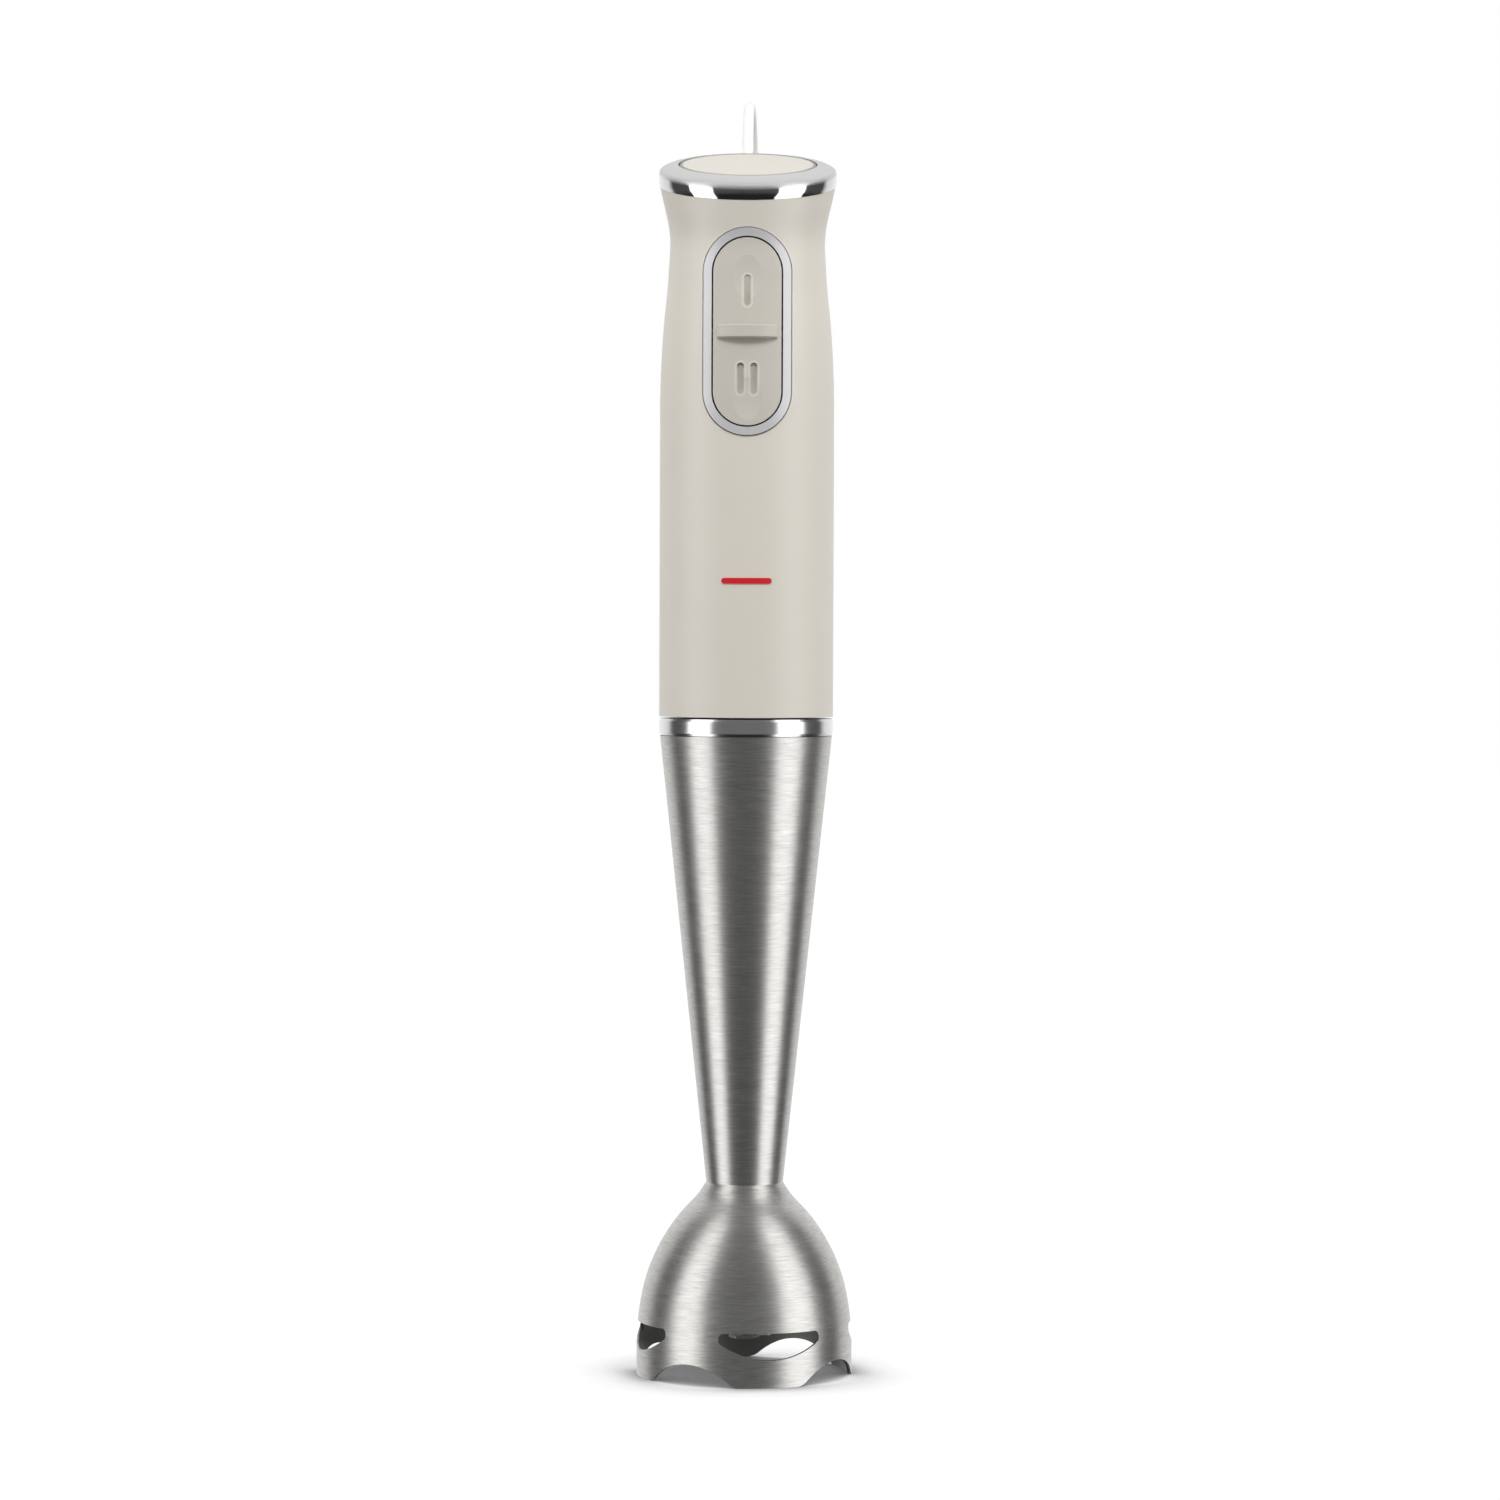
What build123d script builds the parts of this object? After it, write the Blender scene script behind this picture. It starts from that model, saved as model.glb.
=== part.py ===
from build123d import *
import os
from math import atan2, cos, degrees, hypot, pi, radians, sin, tan

# Immersion blender standing on the feet of its blade guard. Millimetres, +Z up, origin on the
# floor on the blender's axis; the speed switch faces -Y.

# --- blade guard (bell) and its openings ---
GUARD_R = 34.8            # outer radius at the rim
GUARD_WALL = 1.3
GUARD_STRAIGHT = 11.0     # height of the straight band above the rim
NECK_Z = 62.0             # crease where the guard meets the leg
NECK_R = 12.4
SLOT_TURN = 15.0          # first slot, from -Y towards +X
SLOT_HALF = 16.6          # half the width of a side slot, seen square on
SLOT_TOP = 17.3
SLOT_END = 14.2
SLOT_LOW = 8.8
SLOT_CORNER = 1.7
SCALLOP_TURN = -31.5
SCALLOP_HALF = 15.2
SCALLOP_RISE = 6.9
SCALLOP_FLARE = 5.0       # radius that blends an arch into the foot beside it

# --- leg ---
LEG_TOP_Z = 206.3
LEG_TOP_R = 27.75
LEG_WALL = 1.0
COLUMN_R = 9.2            # bearing column inside the guard
COLUMN_LOW = 24.0
SLEEVE_R = 6.2
SLEEVE_WALL = 1.6
FLANGE_T = 0.2            # collar flange that shows as a thin dark line under the chrome ring
COLLAR_LOW = 194.0
COLLAR_WEB = 3.0

# --- drive ---
SHAFT_R = 3.0
RUNNING = 0.05            # radial clearance of a turning shaft
BLADE_Z = 13.2            # underside of the blade's flat middle
BLADE_T = 1.5
BLADE_R = 24.0
BLADE_W = 9.0
BLADE_HUB_R = 6.0
BLADE_REST = -79.0        # the knife's long axis at rest, from +X towards +Y
NUT_H = 1.7
BLADE_LIFT = 2.2          # how far one wing tip rises and the other dips

# --- parting line, chrome ring and helical bayonet ---
RING_H = 5.4
RING_STEP = 0.05          # how far the ring stands inside the handle's outline
RING_BORE_R = 24.6
PART_GAP = 0.6
SPIGOT_R = 19.6
SPIGOT_WALL = 2.4
SPIGOT_H = 19.0
LUG_DEPTH = 2.4
LUG_H = 3.6
LUG_ANGLE = 16.0
LUG_COUNT = 3
BAYONET_TURN = 60.0       # twist that frees the leg
BAYONET_LIFT = 12.0       # how far the handle rises over that twist
BAYONET_PLAY = 0.35

# --- handle ---
HANDLE_R = 28.05
HANDLE_WALL = 2.4
WAIST_IN = 3.05           # how far the waist draws in from the handle's radius
BEND_Z = 300.0            # the handle is a plain cylinder up to here
TOP_Z = 383.35            # centre of the slanted top edge
TOP_R = 28.3
TOP_TILT = 14.2           # the top faces the user: its front edge is the lower one
TILT_FROM = 346.0

# --- speed switch ---
SWITCH_Z = 335.0
BEZEL_W = 27.9
BEZEL_H = 65.8
BEZEL_RIM = 2.6
BEZEL_PROUD = 0.7
BEZEL_DEPTH = 1.2
SEAM = 0.3                # dark gap round the bezel
ROCKER_GAP = 0.5
ROCKER_T = 3.0
ROCKER_PROUD = 0.5
RIB_INSET = 1.3           # from the rocker's long edges to the rib's ends
RIB_H = 4.4
RIB_PROUD = 4.0
RIB_BOW_R = 14.0          # the rib bulges towards its middle
DISH_OFFSET = 21.0
DISH_R = 40.0
DISH_DEPTH = 0.6
MARK_DEPTH = 0.4
MARK_H = 10.0
MARK_W = 2.3
FRAME_INSET = 1.8         # the switch frame's outline inside the bezel's
FRAME_WALL = 0.7
EAR_INSET = 2.6           # from the rocker's long edges to the middle of its pivot ears
PIN_R = 1.0
PIN_IN = 6.55             # depths below the handle's outline: pivot, pads and board
PLUNGER_OFFSET = 20.0
PLUNGER_R = 1.5
PLUNGER_REST = 3.0        # from the plunger's back to the board
PLUNGER_GAP = 0.15
PAD_IN = 8.05
BOARD_IN = 17.65
BOARD_T = 1.6
BOARD_W = 22.0
BOARD_H = 58.0
SWITCH_BOX = 7.0
SWITCH_BOX_DEPTH = 6.0
CLAMP_Z = 339.0           # cord clamp on two bosses of the front wall
CLAMP_FRONT = 14.0
CLAMP_BACK = 17.0
CLAMP_SCREW_X = 6.5
CLAMP_SCREW_R = 1.2

# --- motor ---
BASE_Z = 232.0            # top of the bayonet socket, where the motor stands
BRACKET_T = 6.0
BRACKET_R = 23.4
BEARING_R = 8.0
BEARING_T = 5.0
CORE_Z = 253.0
CORE_H = 26.0
STATOR_R = 23.2
STATOR_WALL = 3.8
AIR_GAP = 0.5
ARMATURE_R = 13.8
COMMUTATOR_R = 8.0
COMMUTATOR_H = 8.0
FAN_R = 18.0
FAN_H = 8.0
FAN_BLADES = 11
MOTOR_SCREW_R = 1.5
MOTOR_SCREW_CIRCLE = 21.2
POST_R = 2.1
DOG_R = 9.5
JAW_ANGLE = 50.0
JAW_H = 4.4

# --- mains cord ---
CORD_D = 3.6
EXIT_Y = 40.0
EXIT_Z = 393.0
EXIT_LEAN = 30.0          # the cord guard leans this far back from upright
BOOT_L = 46.0
BOOT_TIP_R = 2.7
BOOT_BASE_R = 5.0
HANK_Y = 122.0            # near end of the put-away hank
HANK_RUN = 62.0
HANK_TURN_R = 14.4
HANK_TURNS_WIDE = 2
HANK_H = 7.6
HANK_PINCH = 8.2          # half-width where the tie holds the strands together
PLUG_W = 35.3
PLUG_H = 13.7
PLUG_L = 33.0
PLUG_PIN_R = 2.0
PLUG_PIN_L = 19.0
PLUG_PIN_PITCH = 18.6
PLUG_Y = 172.0            # cord end of the plug

# --- values worked out from the ones above ---
RING_R = HANDLE_R - RING_STEP
OUTSIDE = HANDLE_R + 12               # clear in front of the handle and what stands on it
PIN_Y = PIN_IN - HANDLE_R
PAD_Y = PAD_IN - HANDLE_R             # where the rocker's pads press the plungers
BOARD_Y = BOARD_IN - HANDLE_R         # rear face of the circuit board
ROCKER_W = BEZEL_W - 2 * BEZEL_RIM - 2 * ROCKER_GAP
ROCKER_H = BEZEL_H - 2 * BEZEL_RIM - 2 * ROCKER_GAP
RING_Z = LEG_TOP_Z + FLANGE_T
RING_TOP = RING_Z + RING_H
HANDLE_Z = RING_TOP + PART_GAP
HANDLE_BORE = HANDLE_R - HANDLE_WALL
LEAD = BAYONET_LIFT / BAYONET_TURN      # rise per degree of twist
SPIGOT_TOP = RING_Z + SPIGOT_H
BRACKET_TOP = BASE_Z + BRACKET_T
CORE_TOP = CORE_Z + CORE_H
WINDING_H = 4.6
COMMUTATOR_Z = CORE_TOP + WINDING_H + 1.6
TOP_BRACKET_Z = COMMUTATOR_Z + COMMUTATOR_H + 0.6
SHAFT_TOP = TOP_BRACKET_Z + BRACKET_T + 1.0
LEG_DOG_Z = SPIGOT_TOP - 13.5
LEG_JAW_Z = LEG_DOG_Z + 5.0
MOTOR_JAW_Z = LEG_JAW_Z + 1.0
MOTOR_DOG_Z = MOTOR_JAW_Z + JAW_H
TOP_PLANE = Plane(origin=(0, 0, TOP_Z), x_dir=(1, 0, 0),
                  z_dir=(0, -sin(radians(TOP_TILT)), cos(radians(TOP_TILT))))
FRONT = Plane(origin=(0, 0, 0), x_dir=(1, 0, 0), z_dir=(0, -1, 0))
BOOT_AXIS = Vector(0, sin(radians(EXIT_LEAN)), cos(radians(EXIT_LEAN)))
BOOT_FOOT = Vector(0, EXIT_Y, EXIT_Z) - BOOT_AXIS * BOOT_L
BOOT_PLANE = Plane(origin=BOOT_FOOT, x_dir=(1, 0, 0), z_dir=BOOT_AXIS)


def turned(points):
    """Solid of revolution about Z from the corners (radius, height) of its section."""
    return revolve(make_face(Plane.XZ * Polyline(*points, close=True)), Axis.Z)


def ring(outer, inner, low, high):
    """Plain tube or washer on the axis."""
    return Pos(0, 0, low) * extrude(Circle(outer) - Circle(inner), high - low)


def rod(radius, low, high):
    return Pos(0, 0, low) * extrude(Circle(radius), high - low)


def block(x, y, z):
    """Box from its (low, high) limits on each axis."""
    size = (x[1] - x[0], y[1] - y[0], z[1] - z[0])
    middle = ((x[0] + x[1]) / 2, (y[0] + y[1]) / 2, (z[0] + z[1]) / 2)
    return Pos(*middle) * Box(*size)


def sector(outer, inner, middle_angle, width, low, high):
    """Part of a tube between two angles."""
    start, end = radians(middle_angle - width / 2), radians(middle_angle + width / 2)
    far = outer * 1.6
    corners = [(0, 0), (far * cos(start), far * sin(start)),
               (far * cos((start + end) / 2), far * sin((start + end) / 2)),
               (far * cos(end), far * sin(end))]
    wedge = Pos(0, 0, low) * extrude(make_face(Polyline(*corners, close=True)), high - low)
    return ring(outer, inner, low, high) & wedge


def around(count, start=0.0):
    """Angles of equal spacing round the axis."""
    return [start + 360.0 * i / count for i in range(count)]


def inset(points, wall):
    """The open outline moved inwards by a wall, square to itself."""
    moved = []
    for i, (r, z) in enumerate(points):
        before, after = points[max(i - 1, 0)], points[min(i + 1, len(points) - 1)]
        dr, dz = after[0] - before[0], after[1] - before[1]
        length = hypot(dr, dz)
        moved.append((r - wall * dz / length, z + wall * dr / length))
    return moved


# ---------------------------------------------------------------- blade guard and leg

GUARD_SHAPE = [(GUARD_R, GUARD_STRAIGHT), (34.1, 20.0), (32.3, 29.5), (29.6, 37.3), (25.4, 45.3),
               (19.5, 53.2), (14.6, 58.6), (NECK_R, NECK_Z)]


def guard_outline(wall):
    """Face between the outer and the inner outline of the guard's shell."""
    inner = inset(GUARD_SHAPE, wall)
    top_in = inner[-1]
    outer_line = Line((GUARD_R, 0), GUARD_SHAPE[0])
    outer_curve = Spline(*GUARD_SHAPE, tangents=((0, 1), (-0.55, 0.835)))
    top = Polyline(GUARD_SHAPE[-1], (COLUMN_R, NECK_Z), (COLUMN_R, top_in[1]), top_in)
    inner_curve = Spline(*reversed(inner), tangents=((0.65, -0.76), (0, -1)))
    inner_line = Polyline(inner[0], (GUARD_R - wall, 0), (GUARD_R, 0))
    return make_face(Plane.XZ * (outer_line + outer_curve + top + inner_curve + inner_line))


def slot_tool():
    """Smile-shaped side opening: flat top, round ends, curved lower edge."""
    outline = Line((-SLOT_HALF, SLOT_TOP), (SLOT_HALF, SLOT_TOP))
    outline += Line((SLOT_HALF, SLOT_TOP), (SLOT_HALF, SLOT_END))
    outline += ThreePointArc((SLOT_HALF, SLOT_END), (0, SLOT_LOW), (-SLOT_HALF, SLOT_END))
    outline += Line((-SLOT_HALF, SLOT_END), (-SLOT_HALF, SLOT_TOP))
    face = make_face(outline)
    face = fillet(face.vertices(), SLOT_CORNER)
    return extrude(FRONT * face, GUARD_R * 1.2)


def scallop_tool():
    """Low arch in the rim, blended into the feet on both sides."""
    far = SCALLOP_HALF + SCALLOP_FLARE
    outline = ThreePointArc((-SCALLOP_HALF, 0), (0, SCALLOP_RISE), (SCALLOP_HALF, 0))
    outline += Polyline((SCALLOP_HALF, 0), (far, 0), (far, -5), (-far, -5), (-far, 0),
                        (-SCALLOP_HALF, 0))
    face = make_face(outline)
    corners = [v for v in face.vertices() if abs(abs(v.X) - SCALLOP_HALF) < 0.01]
    return extrude(FRONT * fillet(corners, SCALLOP_FLARE), GUARD_R * 1.2)


def blade_guard():
    guard = revolve(guard_outline(GUARD_WALL), Axis.Z)
    slot, scallop = slot_tool(), scallop_tool()
    for angle in around(4):
        guard -= Rot(0, 0, SLOT_TURN + angle) * slot
        guard -= Rot(0, 0, SCALLOP_TURN + angle) * scallop
    return guard


def bearing_column():
    """Turned column in the guard that carries the lower bush and the seal."""
    top = NECK_Z
    column = ring(COLUMN_R, SLEEVE_R, COLUMN_LOW + 16, top)
    column += ring(COLUMN_R, BEARING_R - 1.2, COLUMN_LOW, COLUMN_LOW + 16)
    return column


def lower_bush():
    return ring(BEARING_R - 1.2, SHAFT_R + RUNNING, COLUMN_LOW + 5, COLUMN_LOW + 16)


def shaft_seal():
    low, high = COLUMN_LOW + 0.8, COLUMN_LOW + 5
    lip = SHAFT_R + RUNNING
    return turned([(lip, low), (BEARING_R - 1.2, low), (BEARING_R - 1.2, high),
                   (BEARING_R - 2.4, high), (lip + 1.8, low + 1.6), (lip + 1.0, high - 0.6),
                   (lip, high - 0.6)])


def seal_cap():
    """Pressed washer that closes the column under the seal."""
    low = COLUMN_LOW - 1.0
    return turned([(SHAFT_R + 0.8, low), (COLUMN_R, low), (COLUMN_R, COLUMN_LOW),
                   (BEARING_R - 1.2, COLUMN_LOW), (BEARING_R - 1.2, COLUMN_LOW + 0.8),
                   (SHAFT_R + 0.8, COLUMN_LOW + 0.8)])


def leg_radius(z):
    return NECK_R + (LEG_TOP_R - NECK_R) * (z - NECK_Z) / (LEG_TOP_Z - NECK_Z)


def leg_tube():
    thin = LEG_WALL
    return turned([(COLUMN_R, NECK_Z), (NECK_R, NECK_Z), (LEG_TOP_R, LEG_TOP_Z),
                   (LEG_TOP_R - thin, LEG_TOP_Z), (NECK_R - thin + 0.5, NECK_Z + 9),
                   (COLUMN_R, NECK_Z + 7)])


def shaft_sleeve():
    return ring(SLEEVE_R, SLEEVE_R - SLEEVE_WALL, COLUMN_LOW + 16, COLLAR_LOW)


def lug(angle, play):
    """Helical bar of the bayonet, grown by a play all round."""
    height = LUG_H + 2 * play
    wide = LUG_ANGLE + 2 * degrees(play / SPIGOT_R)
    low = SPIGOT_TOP - LUG_H - play
    inner, outer = SPIGOT_R - 0.6, SPIGOT_R + LUG_DEPTH + play
    flat = sector(outer, inner, 0, wide, 0, 1).faces().sort_by(Axis.Z)[0]
    twisted = Solid.extrude_linear_with_rotation(flat.outer_wire(), (0, 0, 0), (0, 0, height),
                                                 height / LEAD)
    return Pos(0, 0, low) * Rot(0, 0, angle - play / LEAD) * twisted


def groove(angle):
    """Path of one lug as the handle turns and rises, open at the socket's mouth."""
    drop = SPIGOT_TOP + BAYONET_PLAY - (HANDLE_Z - 1)
    wide = LUG_ANGLE + 2 * degrees(BAYONET_PLAY / SPIGOT_R) + 2 * BAYONET_PLAY / LEAD
    inner, outer = SPIGOT_R - 0.6, SPIGOT_R + LUG_DEPTH + BAYONET_PLAY
    flat = sector(outer, inner, 0, wide, 0, 1).faces().sort_by(Axis.Z)[0]
    twisted = Solid.extrude_linear_with_rotation(flat.outer_wire(), (0, 0, 0), (0, 0, drop),
                                                 drop / LEAD)
    start = angle - (drop - LUG_H - BAYONET_PLAY) / LEAD
    return Pos(0, 0, SPIGOT_TOP + BAYONET_PLAY - drop) * Rot(0, 0, start) * twisted


def leg_collar():
    """Moulded collar in the mouth of the leg, with the bayonet spigot and its lugs."""
    seat = leg_radius(COLLAR_LOW) - LEG_WALL - 0.4
    collar = turned([(SLEEVE_R, COLLAR_LOW), (seat - 0.4, COLLAR_LOW),
                     (leg_radius(LEG_TOP_Z) - LEG_WALL - 0.4, LEG_TOP_Z), (LEG_TOP_R - 0.5, LEG_TOP_Z),
                     (LEG_TOP_R - 0.5, RING_Z), (SPIGOT_R, RING_Z), (SPIGOT_R, SPIGOT_TOP),
                     (SPIGOT_R - SPIGOT_WALL, SPIGOT_TOP),
                     (SPIGOT_R - SPIGOT_WALL, COLLAR_LOW + COLLAR_WEB + 4),
                     (SLEEVE_R + 3, COLLAR_LOW + COLLAR_WEB), (SLEEVE_R + 3, COLLAR_LOW + 12),
                     (SLEEVE_R, COLLAR_LOW + 12)])
    for angle in around(LUG_COUNT):
        collar += lug(angle, 0)
    return collar


def upper_bush():
    return ring(SLEEVE_R, SHAFT_R + RUNNING, COLLAR_LOW, COLLAR_LOW + 12)


def joint_ring():
    soft = 0.8
    return turned([(RING_BORE_R, RING_Z), (RING_R - 0.25, RING_Z), (RING_R, RING_Z + soft),
                   (RING_R, RING_TOP - soft), (RING_R - 0.25, RING_TOP), (RING_BORE_R, RING_TOP)])


def joint_gasket():
    """Silicone ring in the parting line; it turns with the handle."""
    low = RING_Z + 0.3
    inner, outer = SPIGOT_R + 0.3, RING_BORE_R - 0.3
    return turned([(inner, low), (outer, low), (outer, low + 1.6), (outer - 1.2, low + 2.6),
                   (inner + 1.2, low + 2.6), (inner, low + 1.6)])


# ---------------------------------------------------------------- drive line in the leg

def drive_shaft():
    shaft = rod(SHAFT_R, BLADE_Z - NUT_H - 0.4, LEG_DOG_Z + 5)
    return chamfer(shaft.edges(), 0.4)


def shaft_clip():
    low = COLLAR_LOW + 12.15
    clip = ring(SHAFT_R + 2.0, SHAFT_R, low, low + 0.8)
    return clip - block((-1.1, 1.1), (0, 2 * SHAFT_R), (low - 1, low + 2))


def jaws(low, start):
    pair = sector(DOG_R, DOG_R - 4.6, start, JAW_ANGLE, low, low + JAW_H)
    return pair + sector(DOG_R, DOG_R - 4.6, start + 180, JAW_ANGLE, low, low + JAW_H)


def leg_dog():
    return ring(DOG_R, SHAFT_R, LEG_DOG_Z, LEG_JAW_Z) + jaws(LEG_JAW_Z, 0)


def blade():
    """Two-winged knife: one wing tip lifted, the other dipped, both bevelled on the leading edge."""
    middle, tip = 8.5, BLADE_R
    side = [(-tip, BLADE_Z - BLADE_LIFT), (-middle, BLADE_Z), (middle, BLADE_Z),
            (tip, BLADE_Z + BLADE_LIFT), (tip, BLADE_Z + BLADE_LIFT + BLADE_T),
            (middle, BLADE_Z + BLADE_T), (-middle, BLADE_Z + BLADE_T),
            (-tip, BLADE_Z - BLADE_LIFT + BLADE_T)]
    knife = extrude(make_face(Plane.XZ * Polyline(*side, close=True)), BLADE_W, both=True)
    wing = BLADE_W / 2
    plan = Circle(BLADE_HUB_R)
    for turn in (0, 180):
        plan += Rot(0, 0, turn) * make_face(Polyline((0, -wing), (tip - 4, -wing), (tip, -wing + 4),
                                                    (tip, wing - 1.5), (tip - 3, wing), (0, wing - 1.2),
                                                    close=True))
    knife &= extrude(plan, 40)
    for turn in (0, 180):
        lift = degrees(atan2(BLADE_LIFT, tip - middle)) * (1 if turn == 0 else -1)
        edge = Pos(middle, -wing, BLADE_Z + BLADE_T) * Rot(0, -lift, 0)
        knife -= Rot(0, 0, turn) * edge * Pos(12, 0, 0) * Rot(28, 0, 0) * Pos(0, 0, 1) * Box(30, 9, 2)
    return Rot(0, 0, BLADE_REST) * (knife - rod(SHAFT_R, 0, 40))


def blade_nut():
    """Domed nut that clamps the blade on the shaft end."""
    low = BLADE_Z - NUT_H
    nut = Pos(0, 0, low) * extrude(RegularPolygon(5.0, 6) - Circle(SHAFT_R), BLADE_Z - low)
    washer = ring(BLADE_HUB_R - 0.4, SHAFT_R, BLADE_Z + BLADE_T, BLADE_Z + BLADE_T + 4.0)
    return [nut, washer]


# ---------------------------------------------------------------- handle

def tilt_at(z):
    """How far the handle's section leans forward at a height, easing in below the top."""
    share = max(0.0, (z - TILT_FROM) / (TOP_Z - TILT_FROM))
    return TOP_TILT * share * share * (3 - 2 * share) if share < 1 else TOP_TILT


WAIST_R = HANDLE_R - WAIST_IN
HANDLE_SHAPE = [(311.0, HANDLE_R), (322.0, HANDLE_R - 0.2), (333.0, HANDLE_R - 0.75),
                (343.0, HANDLE_R - 1.6), (352.0, HANDLE_R - 2.5), (361.0, WAIST_R), (367.0, WAIST_R),
                (373.0, WAIST_R + 0.95), (379.0, WAIST_R + 2.35), (TOP_Z, TOP_R)]


def handle_radius(z):
    """Outer radius of the handle at a height, read along its outline."""
    if z <= HANDLE_SHAPE[0][0]:
        return HANDLE_R
    for (z0, r0), (z1, r1) in zip(HANDLE_SHAPE, HANDLE_SHAPE[1:]):
        if z <= z1:
            return r0 + (r1 - r0) * (z - z0) / (z1 - z0)
    return TOP_R


def handle_form(offset):
    """Solid of the handle's outer form, grown or shrunk by an offset."""
    stack = [Pos(0, 0, BEND_Z) * Circle(HANDLE_R + offset)]
    for z, r in HANDLE_SHAPE:
        plane = Plane(origin=(0, 0, z), x_dir=(1, 0, 0),
                      z_dir=(0, -sin(radians(tilt_at(z))), cos(radians(tilt_at(z)))))
        stack.append(plane * Circle(r + offset))
    return rod(HANDLE_R + offset, HANDLE_Z, BEND_Z) + loft(stack)


FORM = handle_form(0)
CAVITY = handle_form(-HANDLE_WALL)


def stadium(width, height, near, far):
    """Upright stadium prism through the front wall, from y = near back to y = far."""
    flat = FRONT * (Pos(0, SWITCH_Z) * SlotOverall(height, width, rotation=90))
    return Pos(0, near, 0) * extrude(flat, -(far - near))


def switch_tube(width, height, inner_width, inner_height, near, far):
    return stadium(width, height, near, far) - stadium(inner_width, inner_height, near - 1, far + 1)


def motor_housing():
    shell = FORM - CAVITY
    hole = stadium(BEZEL_W - 3.2, BEZEL_H - 3.2, -OUTSIDE, -5)
    recess = stadium(BEZEL_W + 2 * SEAM, BEZEL_H + 2 * SEAM, -OUTSIDE, -5) - handle_form(-BEZEL_DEPTH)
    shell = shell - hole - recess
    for x in (-CLAMP_SCREW_X, CLAMP_SCREW_X):
        rear = HANDLE_R - HANDLE_WALL
        boss = Pos(x, CLAMP_BACK, CLAMP_Z) * Rot(-90, 0, 0) * extrude(Circle(2.8), rear - CLAMP_BACK)
        shell += boss & FORM
        shell -= Pos(x, CLAMP_BACK - 1, CLAMP_Z) * Rot(-90, 0, 0) * extrude(Circle(CLAMP_SCREW_R), 7)
    cone = BOOT_PLANE * Pos(0, 0, 3) * Cone(BOOT_BASE_R + 0.15, BOOT_TIP_R + 0.15, BOOT_L,
                                            align=(Align.CENTER, Align.CENTER, Align.MIN))
    return shell - cone


def cap_base():
    """Closing plate under the chrome ring, with a skirt down into the handle."""
    skirt = TOP_R - HANDLE_WALL - 1.6
    return TOP_PLANE * turned([(0, -1.6), (skirt - 1.4, -1.6), (skirt - 1.4, -4.0), (skirt, -4.0),
                               (skirt, 0), (26.8, 0), (26.8, 2.2), (24.6, 3.0), (22.0, 4.0),
                               (22.0, 5.0), (0, 5.0)])


def cap_ring():
    outer = Spline((TOP_R + 0.1, 0), (TOP_R + 0.28, 1.4), (TOP_R + 0.28, 2.8), (TOP_R - 0.15, 4.9),
                   (27.0, 5.7), (25.2, 6.4), (22.4, 6.8))
    inner = Polyline((22.4, 6.8), (22.4, 4.3), (24.8, 3.4), (26.8, 2.2), (26.8, 0), (TOP_R + 0.1, 0))
    return TOP_PLANE * revolve(make_face(Plane.XZ * (outer + inner)), Axis.Z)


def cap_disc():
    face = Polyline((21.6, 6.75), (22.0, 6.4), (22.0, 5.0), (0, 5.0), (0, 7.1))
    crown = ThreePointArc((0, 7.1), (11.5, 7.0), (21.6, 6.75))
    return TOP_PLANE * revolve(make_face(Plane.XZ * (face + crown)), Axis.Z)


def switch_bezel():
    band = handle_form(BEZEL_PROUD) - handle_form(-BEZEL_DEPTH)
    inner_w, inner_h = BEZEL_W - 2 * BEZEL_RIM, BEZEL_H - 2 * BEZEL_RIM
    return band & switch_tube(BEZEL_W, BEZEL_H, inner_w, inner_h, -OUTSIDE, -14)


def switch_frame():
    """Walled frame behind the bezel that carries the pivot and the circuit board."""
    outer_w, outer_h = BEZEL_W - 2 * FRAME_INSET, BEZEL_H - 2 * FRAME_INSET
    tube = switch_tube(outer_w, outer_h, outer_w - 2 * FRAME_WALL, outer_h - 2 * FRAME_WALL,
                       -OUTSIDE, BOARD_Y - BOARD_T)
    frame = tube & handle_form(-BEZEL_DEPTH)
    return frame - pin_rod(PIN_R, 20)


def pin_rod(radius, half):
    return Pos(0, PIN_Y, SWITCH_Z) * Rot(0, 90, 0) * Cylinder(radius, 2 * half)


def rocker_pin():
    return pin_rod(PIN_R, BEZEL_W / 2 - FRAME_INSET - 0.1)


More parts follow.
